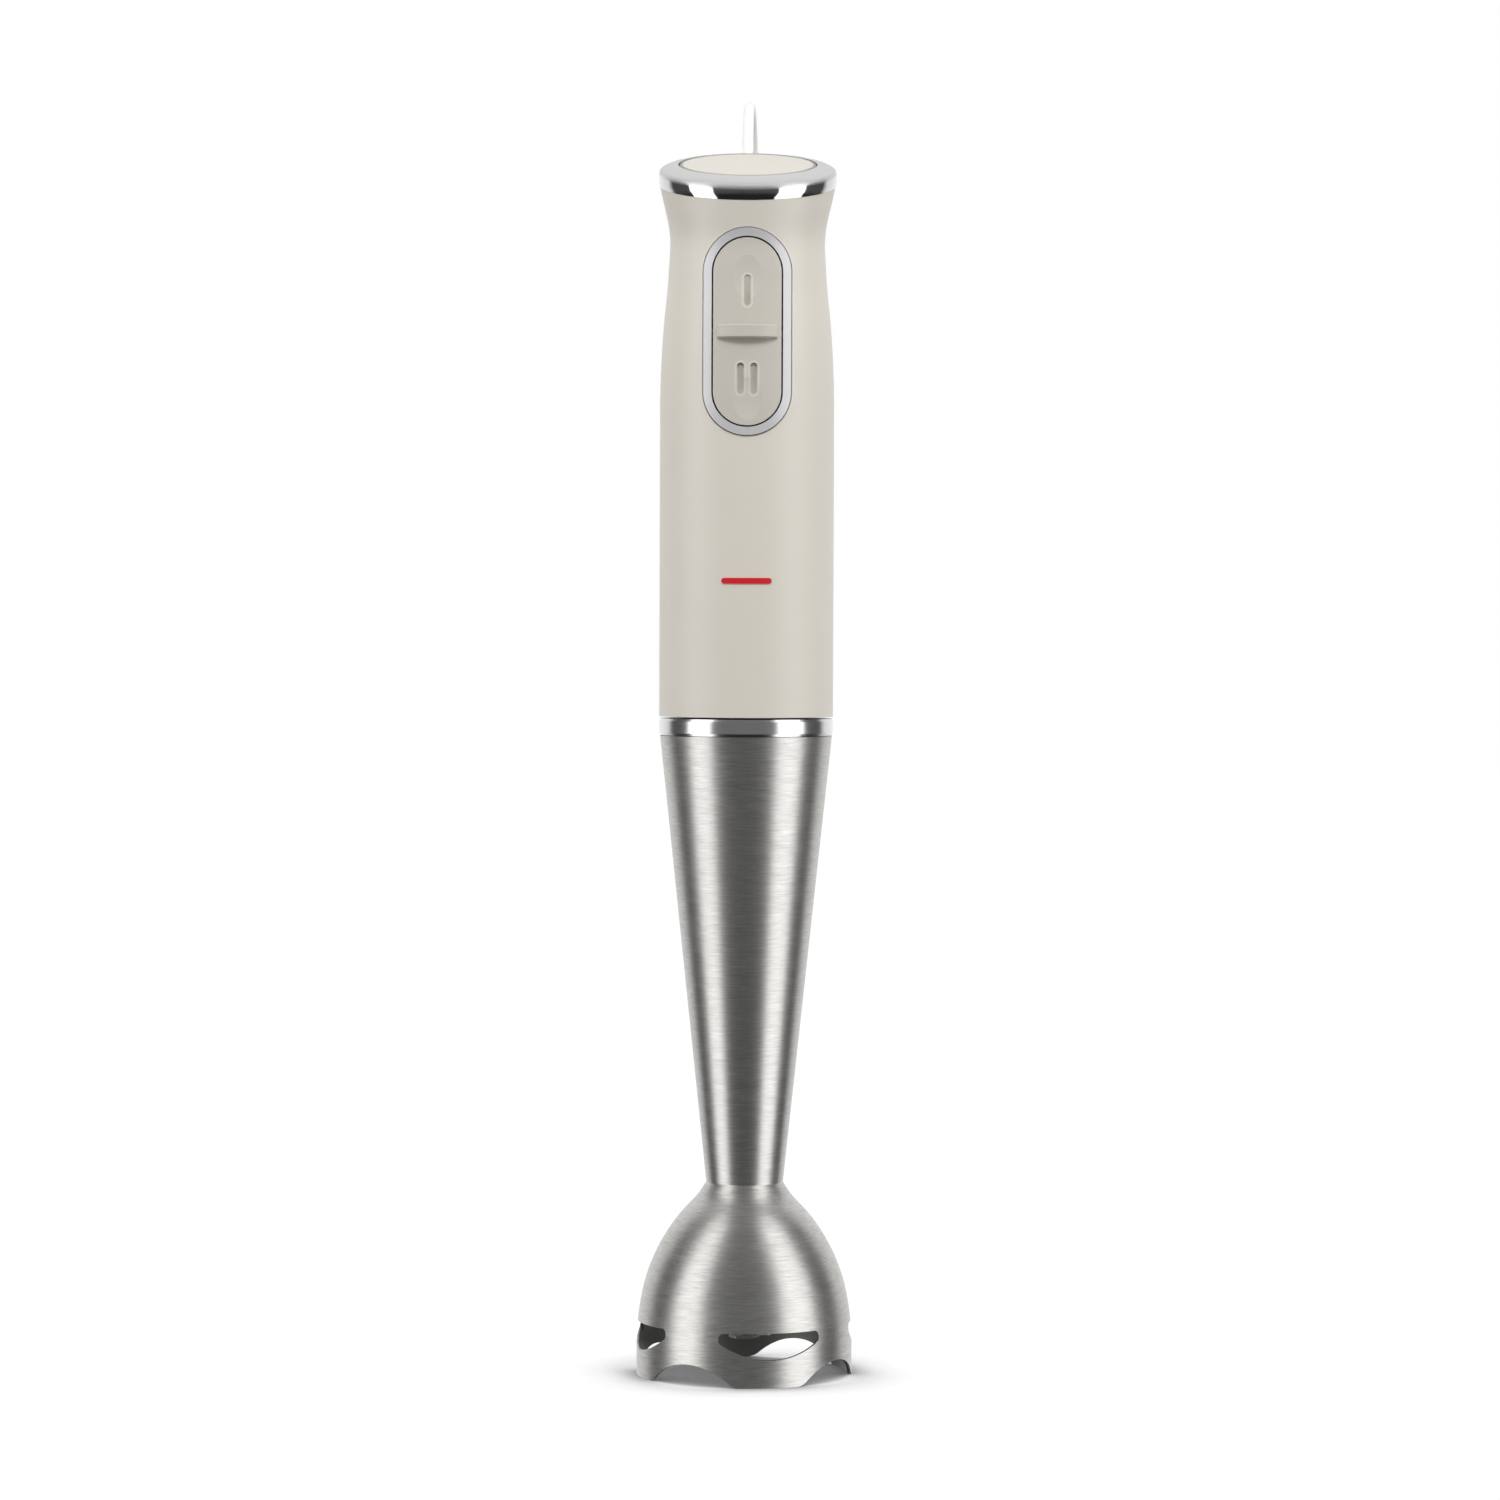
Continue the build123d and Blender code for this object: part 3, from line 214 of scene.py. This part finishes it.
CORD_D = 0.0036
CORD_ROUTE = [(0.0, 40.0, 393.0), (0.0, 49.2, 409.0), (0.6, 65.5, 416.6), (1.2, 82.0, 411.0),
              (1.8, 92.8, 397.5), (2.2, 96.5, 368.0), (2.4, 93.5, 318.0), (1.6, 88.0, 262.0),
              (0.2, 83.5, 204.0), (-1.0, 79.5, 146.0), (-0.6, 76.5, 92.0), (0.4, 76.0, 56.0),
              (1.2, 79.0, 34.0), (2.4, 87.0, 15.5), (4.4, 101.5, 4.6), (8.0, 118.0, 1.9)]
HANK_RUN = 0.062
HANK_TURN_R = 0.0144
HANK_PINCH = 0.0028

hank_low, hank_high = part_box("cord_hank")
plug_low, plug_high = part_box("plug_body")
hank_outer = (hank_high.x - hank_low.x) / 2
near_fold = hank_low.y + hank_outer
far_fold = hank_high.y - hank_outer


def hank_strand(side, column, share, height):
    """A point of one run of the hank, which leans in to the tie half way along."""
    wide = HANK_TURN_R + column * CORD_D
    tied = HANK_PINCH + column * CORD_D
    off = abs(2 * share - 1)
    lean = tied + (wide - tied) * off * off * (3 - 2 * off)
    return (side * lean, near_fold + (far_fold - near_fold) * share, height)


def hank_fold(column_from, column_to, at_far, height_from, height_to):
    """Points round one fold, easing to the next column and layer."""
    points = []
    for step in range(1, 6):
        share = step / 6
        radius = HANK_TURN_R + (column_from + (column_to - column_from) * share) * CORD_D
        angle = math.pi * share
        height = height_from + (height_to - height_from) * share
        if at_far:
            points.append((radius * math.cos(angle), far_fold + radius * math.sin(angle), height))
        else:
            points.append((-radius * math.cos(angle), near_fold - radius * math.sin(angle), height))
    return points


def hank_points():
    """The lead's own turns: out and back, two columns wide and two layers high."""
    points = []
    low = CORD_D / 2
    turns = [(1, low), (0, low), (0, low + CORD_D), (1, low + CORD_D)]
    for i, (column, height) in enumerate(turns):
        first = 0.12 if i == 0 else 0.0
        for share in (first, 0.25, 0.5, 0.75, 1.0):
            points.append(hank_strand(1, column, share, height))
        points += hank_fold(column, column, True, height, height)
        for share in (1.0, 0.75, 0.5, 0.25, 0.0):
            points.append(hank_strand(-1, column, share, height))
        after, rise = turns[i + 1] if i + 1 < len(turns) else (column, height + CORD_D)
        points += hank_fold(column, after, False, height, rise)
    return points


plug_middle = (plug_low.z + plug_high.z) / 2
top_layer = CORD_D * 2.5
plug_end = plug_low.y
run_in = [(hank_outer - CORD_D / 2, near_fold + 0.003, top_layer + 0.0006),
          (0.0128, near_fold + 0.0125, top_layer + 0.0018),
          (0.0052, near_fold + 0.0205, plug_middle - 0.0018),
          (0.0006, near_fold + 0.0275, plug_middle - 0.0003),
          (0.0, plug_end + 0.002, plug_middle),
          (0.0, plug_end + 0.008, plug_middle)]

cord_points = [(x / 1000, y / 1000, z / 1000) for x, y, z in CORD_ROUTE] + hank_points() + run_in
flex = bpy.data.curves.new("mains_cord", "CURVE")
flex.dimensions = "3D"
flex.bevel_depth = CORD_D / 2
flex.bevel_resolution = 4
flex.resolution_u = 6
flex.use_fill_caps = True
line = flex.splines.new("NURBS")
line.points.add(len(cord_points) - 1)
for point, place in zip(line.points, cord_points):
    point.co = (*place, 1.0)
line.order_u = 3
line.use_endpoint_u = True
cord = bpy.data.objects.new("mains_cord", flex)
bpy.context.collection.objects.link(cord)

lead = Paint("white_flex", (0.88, 0.88, 0.865), 0.42)
lead.drive("Base Color", lead.mix(lead.noise(90.0), (0.86, 0.86, 0.843), (0.90, 0.90, 0.888)))
lead.bump(lead.noise(500.0, detail=2.0), 0.05, 0.0001)
flex.materials.append(lead.material)
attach(cord, "motor_unit")
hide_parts("cord_tube", "cord_hank")
dress(lead, "cord_boot", "plug_body")

# ---------------------------------------------------------------- steel leg and blade guard
# Spun stainless steel, brushed round its axis, so its reflections draw out up and down.

SCRATCH = (170.0, 170.0, 2600.0)
STREAK = (30.0, 30.0, 900.0)
STEEL_BARE = (0.60, 0.59, 0.565)
STEEL_DARK = (0.49, 0.482, 0.462)
STEEL_LIGHT = (0.72, 0.712, 0.69)


def brushed(paint, dulled=0.0):
    """Gives a steel its scratches and streaks, and returns the scratches' level."""
    scratches = paint.noise(1.0, SCRATCH, detail=4.0, roughness=0.7)
    streaks = paint.noise(1.0, STREAK, detail=2.0)
    paint.drive("Roughness", 0.27 + 0.12 * streaks + dulled)
    paint.bump(scratches, 0.1, 0.00006)
    return 0.5 + 2.4 * (scratches - 0.5)


steel = Paint("brushed_steel", STEEL_BARE, 0.32, 1.0)
steel.drive("Base Color", steel.mix(brushed(steel), STEEL_DARK, STEEL_LIGHT))
dress(steel, "leg_tube")

# The guard is pressed from the same sheet. Inside it, behind the slots, its steel is rougher,
# and its colour is darkened there: painted shade inside the guard.

GUARD_INNER_R = 0.0342
GUARD_BAND_TOP = 0.0185
STEEL_INSIDE_SHADE = (0.20, 0.197, 0.19)

pressed = Paint("guard_steel_painted_shade", STEEL_BARE, 0.32, 1.0)
at_x, at_y, at_z = pressed.axes("X", "Y", "Z")
# Mask of the guard's inside, behind the slots, where the colour is darkened as painted shade.
shaded_inside = (GUARD_INNER_R ** 2 > at_x * at_x + at_y * at_y) * (GUARD_BAND_TOP > at_z)
level = brushed(pressed, 0.2 * shaded_inside) - 3.0 * shaded_inside
pressed.drive("Base Color", pressed.ramp_colour(level, (0.0, STEEL_INSIDE_SHADE), (0.04, STEEL_DARK),
                                                (1.0, STEEL_LIGHT)))
dress(pressed, "blade_guard")

# ---------------------------------------------------------------- chrome rings
# Polished chrome on plastic: one ring at the parting line, one round the slanted top.

satin = Paint("satin_chrome", (0.82, 0.82, 0.825), 0.2, 1.0)
satin.drive("Roughness", 0.17 + 0.06 * satin.noise(1.0, (60.0, 60.0, 2400.0)))
dress(satin, "joint_ring")

# The top ring leans towards the user with the cap. Its band is bright, its shoulder satin.

TOP_LEAN = math.radians(14.2)
SHOULDER_FROM = 0.0038
SHOULDER_BLEND = 0.0017

ring_low, ring_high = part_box("cap_ring")
foot_z = (ring_low.z + ring_high.z) / 2 - 0.0034 * math.cos(TOP_LEAN)
chrome = Paint("bright_chrome", (0.78, 0.78, 0.78), 0.07, 1.0)
here = chrome.node("ShaderNodeTexCoord", {}, {}).outputs["Object"]
along = chrome.node("ShaderNodeVectorMath", {"operation": "DOT_PRODUCT"},
                    {0: here, 1: (0.0, -math.sin(TOP_LEAN), math.cos(TOP_LEAN))})
height = Value(chrome, along.outputs["Value"]) - foot_z * math.cos(TOP_LEAN)
shoulder = chrome.ramp((1 / SHOULDER_BLEND) * (height - SHOULDER_FROM), (0.0, 0.0), (1.0, 1.0))
chrome.drive("Base Color", chrome.mix(shoulder, (0.78, 0.78, 0.78), (0.55, 0.55, 0.545)))
satin_share = chrome.grey(shoulder)
chrome.drive("Metallic", 1.0 - 0.75 * satin_share)
chrome.drive("Roughness", 0.05 + 0.05 * chrome.noise(220.0, detail=5.0) + 0.38 * satin_share)
dress(chrome, "cap_ring")

# ---------------------------------------------------------------- handle, cap inlay and rocker
# Warm cream plastic with a fine satin texture.

CREAM = (0.655, 0.622, 0.555)
cream = Paint("cream_plastic", CREAM, 0.4, Specular_IOR_Level=0.5)
cream.drive("Base Color", cream.mix(cream.noise(35.0), tinted(CREAM, 0.97), tinted(CREAM, 1.03)))
cream.drive("Roughness", 0.34 + 0.1 * cream.noise(300.0))
cream.bump(cream.noise(2600.0, detail=2.0), 0.12, 0.0001)
dress(cream, "motor_housing")

# The disc in the top is a separate inlay of the same plastic. Its rim is darkened: painted shade of the
# thin parting gap round it.

GAP_SHADE_FROM = 0.0208
GAP_SHADE_BLEND = 0.0003

cap = Paint("inlay_plastic", CREAM, 0.4, Specular_IOR_Level=0.5)
disc_low, disc_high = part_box("cap_disc")
middle = (disc_low + disc_high) / 2
apart = cap.node("ShaderNodeVectorMath", {"operation": "DISTANCE"},
                 {0: cap.place((1.0, 1.0, 1.0)), 1: (0.0, middle.y, middle.z)})
# Darkens the disc's rim: painted shade of the parting gap.
gap_shade = (1 / GAP_SHADE_BLEND) * (Value(cap, apart.outputs["Value"]) - GAP_SHADE_FROM)
cap.drive("Base Color", cap.ramp_colour(gap_shade, (0.0, CREAM), (1.0, tinted(CREAM, 0.45))))
cap.drive("Roughness", 0.34 + 0.1 * cap.noise(300.0))
cap.bump(cap.noise(2600.0, detail=2.0), 0.12, 0.0001)
dress(cap, "cap_disc")

# The rocker is the same plastic, a shade darker. Its sunk speed marks get painted shade inside and
# painted highlights on their rims.

MARK_HALF = 0.00385
MARK_RADIUS = 0.00115
MARKS = [(0.0, 0.348), (-0.0021, 0.320), (0.0021, 0.320)]

key = Paint("rocker_plastic", CREAM, 0.42, Specular_IOR_Level=0.5)
at_x, at_z = key.axes("X", "Z")
nearest = None
for mark_x, mark_z in MARKS:
    aside = at_x - mark_x
    past = key.maths("MAXIMUM", key.maths("ABSOLUTE", at_z - mark_z) - MARK_HALF, 0.0)
    reach = key.maths("SQRT", aside * aside + past * past) - MARK_RADIUS
    nearest = reach if nearest is None else key.maths("MINIMUM", nearest, reach)
# Level across the marks: darker inside each mark as painted shade, pale on its rim as a painted
# highlight.
edge = key.ramp(0.5 + 500.0 * nearest, (0.0, 0.52), (0.34, 0.52),
                (0.48, 1.0), (0.74, 1.0), (0.95, 0.62))
key.drive("Base Color", key.mix(key.grey(edge) + 0.06 * (key.noise(60.0) - 0.5),
                                tinted(CREAM, 0.58), tinted(CREAM, 0.94)))
key.drive("Roughness", 0.36 + 0.1 * key.noise(300.0))
key.bump(key.noise(2600.0, detail=2.0), 0.12, 0.0001)
dress(key, "rocker_switch")

silver = Paint("satin_silver", (0.60, 0.60, 0.61), 0.34, 0.25)
silver.drive("Roughness", 0.28 + 0.12 * silver.noise(400.0, detail=4.0))
dress(silver, "switch_bezel")

# A slim red inlay marks the front of the handle: an enamelled bar let into the plastic.

ACCENT_W = 0.016
ACCENT_H = 0.0018
ACCENT_Z = 0.256
ACCENT_T = 0.0006
ACCENT_PROUD = 0.00012
ACCENT_CUTS = 16

handle_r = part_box("motor_housing")[1].x
build = bmesh.new()
bmesh.ops.create_cube(build, size=1.0)
bmesh.ops.scale(build, vec=(ACCENT_W, ACCENT_T, ACCENT_H), verts=build.verts)
ends = [edge for edge in build.edges if abs(edge.verts[0].co.y - edge.verts[1].co.y) > 0.0001]
bmesh.ops.bevel(build, geom=ends, offset=ACCENT_H * 0.49, segments=8, affect="EDGES", profile=0.5,
                material=-1)
for cut in range(1, ACCENT_CUTS):
    across = ACCENT_W * (cut / ACCENT_CUTS - 0.5)
    bmesh.ops.bisect_plane(build, geom=build.verts[:] + build.edges[:] + build.faces[:],
                           plane_co=(across, 0, 0), plane_no=(1, 0, 0))
for vert in build.verts:
    outer = handle_r + ACCENT_PROUD - ACCENT_T / 2 - vert.co.y
    vert.co.y = -math.sqrt(outer * outer - vert.co.x * vert.co.x)
    vert.co.z += ACCENT_Z
bmesh.ops.recalc_face_normals(build, faces=build.faces)
accent_mesh = bpy.data.meshes.new("accent_bar")
build.to_mesh(accent_mesh)
build.free()
enamel = Paint("red_enamel", (0.62, 0.012, 0.02), 0.3, Coat_Weight=0.3)
enamel.drive("Roughness", 0.26 + 0.08 * enamel.noise(600.0))
show("accent_bar", accent_mesh, "motor_unit", "handle_plastic", enamel)

# ---------------------------------------------------------------- blade and drive line
# Ground stainless knife, turned shafts, moulded couplings.

blade_steel = Paint("ground_steel", (0.72, 0.72, 0.71), 0.22, 1.0)
ground = blade_steel.noise(1.0, (2600.0, 120.0, 120.0), detail=4.0)
blade_steel.drive("Roughness", 0.14 + 0.16 * ground)
blade_steel.bump(ground, 0.1, 0.0001)
dress(blade_steel, "blade", "blade_nut", "seal_cap")

turned_steel = Paint("turned_steel", (0.56, 0.56, 0.57), 0.3, 1.0)
turned_steel.drive("Roughness", 0.2 + 0.2 * turned_steel.noise(1.0, (80.0, 80.0, 3000.0)))
dress(turned_steel, "drive_shaft", "shaft_clip", "bearing_column", "rocker_pin", "motor_shaft",
      "lower_bracket", "lower_bearing", "upper_bearing", "motor_screws", "brush_springs",
      "clamp_screws", "plug_pins")

# ---------------------------------------------------------------- dark mouldings and seals
# Black glass-filled plastic and silicone.

dark = Paint("dark_plastic", (0.02, 0.02, 0.021), 0.45)
dark.drive("Roughness", 0.38 + 0.16 * dark.noise(260.0))
dark.bump(dark.noise(1500.0), 0.1, 0.0001)
dress(dark, "leg_collar", "shaft_sleeve", "socket_insert", "cap_base", "switch_frame",
      "speed_switches", "diode", "upper_bracket", "cooling_fan", "cord_clamp", "cord_tie")

rubber = Paint("seal_rubber", (0.03, 0.03, 0.03), 0.7)
rubber.bump(rubber.noise(800.0), 0.15, 0.0001)
dress(rubber, "shaft_seal", "joint_gasket", "lower_damper", "upper_damper")

# ---------------------------------------------------------------- motor and switch parts
# Copper windings, stacked sheet, carbon, brass, a green board and white nylon.

copper = Paint("copper_wire", (0.55, 0.24, 0.11), 0.35, 0.8)
wound = copper.noise(1.0, (300.0, 300.0, 2400.0))
copper.drive("Base Color", copper.mix(wound, (0.36, 0.14, 0.06), (0.66, 0.31, 0.15)))
copper.bump(wound, 0.4, 0.0002)
dress(copper, "field_coils", "armature_windings", "commutator", "choke")

bronze = Paint("sintered_bronze", (0.42, 0.28, 0.13), 0.42, 0.9)
bronze.bump(bronze.noise(1800.0), 0.15, 0.0001)
dress(bronze, "lower_bush", "upper_bush", "brush_holders")

sheets = Paint("stacked_sheet", (0.12, 0.12, 0.13), 0.5, 0.8)
layer = sheets.noise(1.0, (5.0, 5.0, 2600.0), detail=1.0)
sheets.drive("Base Color", sheets.mix(layer, (0.06, 0.06, 0.065), (0.2, 0.2, 0.21)))
sheets.bump(layer, 0.4, 0.0002)
dress(sheets, "stator_core", "armature_core")

carbon = Paint("pressed_carbon", (0.012, 0.012, 0.013), 0.55, 0.2)
carbon.bump(carbon.noise(900.0), 0.2, 0.0001)
dress(carbon, "carbon_brushes")

board = Paint("board_green", (0.012, 0.09, 0.03), 0.3)
board.drive("Base Color", board.mix(board.noise(180.0) > 0.52, (0.01, 0.08, 0.026), (0.02, 0.14, 0.05)))
dress(board, "circuit_board")

nylon = Paint("white_nylon", (0.78, 0.78, 0.76), 0.4)
nylon.bump(nylon.noise(700.0), 0.1, 0.0001)
dress(nylon, "leg_dog", "motor_dog", "plunger_1", "plunger_2", "lead_wires", "capacitor")

# ---------------------------------------------------------------- studio
# White table and backdrop, and a tall soft box each side. Three fills light the plastic from the
# front and sides without showing in the chrome and steel. The table's shading is painted on it:
# it darkens near the feet and neither lights the object nor shadows it.

TABLE = 6.0
SHADE_REACH = 0.045
table_mesh = bpy.data.meshes.new("studio_floor")
build = bmesh.new()
bmesh.ops.create_grid(build, x_segments=1, y_segments=1, size=TABLE)
build.to_mesh(table_mesh)
build.free()
floor = bpy.data.objects.new("studio_floor", table_mesh)
bpy.context.collection.objects.link(floor)
floor_paint = Paint("studio_white", (0.0, 0.0, 0.0), 1.0, Specular_IOR_Level=0.0,
                    Emission_Strength=1.04)
shade = floor_paint.node("ShaderNodeAmbientOcclusion", {"samples": 16}, {"Distance": SHADE_REACH})
floor_paint.drive("Emission Color", floor_paint.ramp(shade.outputs["AO"], (0.0, 0.02), (0.3, 0.13),
                                                     (0.55, 0.34), (0.75, 0.68), (0.9, 1.0)))
table_mesh.materials.append(floor_paint.material)
floor.visible_glossy = False
floor.visible_diffuse = False
floor.visible_shadow = False


def soft_box(name, turn, away, wide, high, centre, power, aim=None, reflected=True):
    """Rectangular lamp at an angle from the front. It faces the axis, level or at the height aim."""
    data = bpy.data.lights.new(name, "AREA")
    data.shape = "RECTANGLE"
    data.size = wide
    data.size_y = high
    data.energy = power
    lamp = bpy.data.objects.new(name, data)
    angle = math.radians(turn)
    lamp.location = (away * math.sin(angle), -away * math.cos(angle), centre)
    facing = Vector((0, 0, centre if aim is None else aim)) - lamp.location
    lamp.rotation_euler = facing.to_track_quat("-Z", "Y").to_euler()
    lamp.visible_glossy = reflected
    bpy.context.collection.objects.link(lamp)


soft_box("left_box", -65, 1.1, 0.70, 3.6, 1.0, 12.6)
soft_box("right_box", 62, 1.1, 0.80, 3.6, 1.0, 14.6)
soft_box("front_fill", 0, 1.15, 0.6, 0.6, 1.25, 12.0, aim=0.33, reflected=False)
soft_box("left_fill", -80, 1.1, 0.5, 1.0, 0.35, 2.4, reflected=False)
soft_box("right_fill", 80, 1.1, 0.5, 1.0, 0.35, 2.6, reflected=False)

# The room is white behind, dark in front and at the sides, and lit overhead at the rear only.

world = bpy.data.worlds.new("studio")
bpy.context.scene.world = world
world.use_nodes = True
sky = Tree(world.node_tree)
direction = sky.node("ShaderNodeTexCoord", {}, {}).outputs["Generated"]
level_out = sky.node("ShaderNodeVectorMath", {"operation": "MULTIPLY"}, {0: direction, 1: (1, 1, 0)})
flat = sky.node("ShaderNodeVectorMath", {"operation": "NORMALIZE"}, {0: level_out.outputs[0]})
away = sky.node("ShaderNodeSeparateXYZ", {}, {0: flat.outputs[0]}).outputs["Y"]
walls = sky.ramp(0.5 + 0.5 * Value(sky, away),
                 (0.0, 0.16), (0.2, 0.12), (0.4, 0.07), (0.72, 0.07), (0.8, 0.8), (0.95, 0.95))
above = sky.node("ShaderNodeSeparateXYZ", {}, {0: direction})
below = sky.ramp(0.5 + 1.0 * Value(sky, above.outputs["Z"]),
                 (0.05, 0.12), (0.3, 1.0))
walls = sky.node("ShaderNodeMix", {"data_type": "RGBA", "blend_type": "MULTIPLY"},
                 {0: 1.0, 6: walls, 7: below}).outputs[2]
rear = 0.5 + 1.4 * Value(sky, above.outputs["Y"])
top = 1.9 * (Value(sky, above.outputs["Z"]) - 0.5)
overhead = sky.ramp(sky.maths("MINIMUM", rear, top), (0.0, 0.0), (0.7, 0.22))
room = sky.node("ShaderNodeMix", {"data_type": "RGBA", "blend_type": "ADD"},
                {0: 1.0, 6: walls, 7: overhead}).outputs[2]
seen = sky.node("ShaderNodeLightPath", {}, {}).outputs["Is Camera Ray"]
backdrop = sky.node("ShaderNodeMix", {"data_type": "RGBA"}, {0: seen, 6: room, 7: (1, 1, 1, 1)})
sky.tree.links.new(backdrop.outputs[2], sky.tree.nodes["Background"].inputs["Color"])
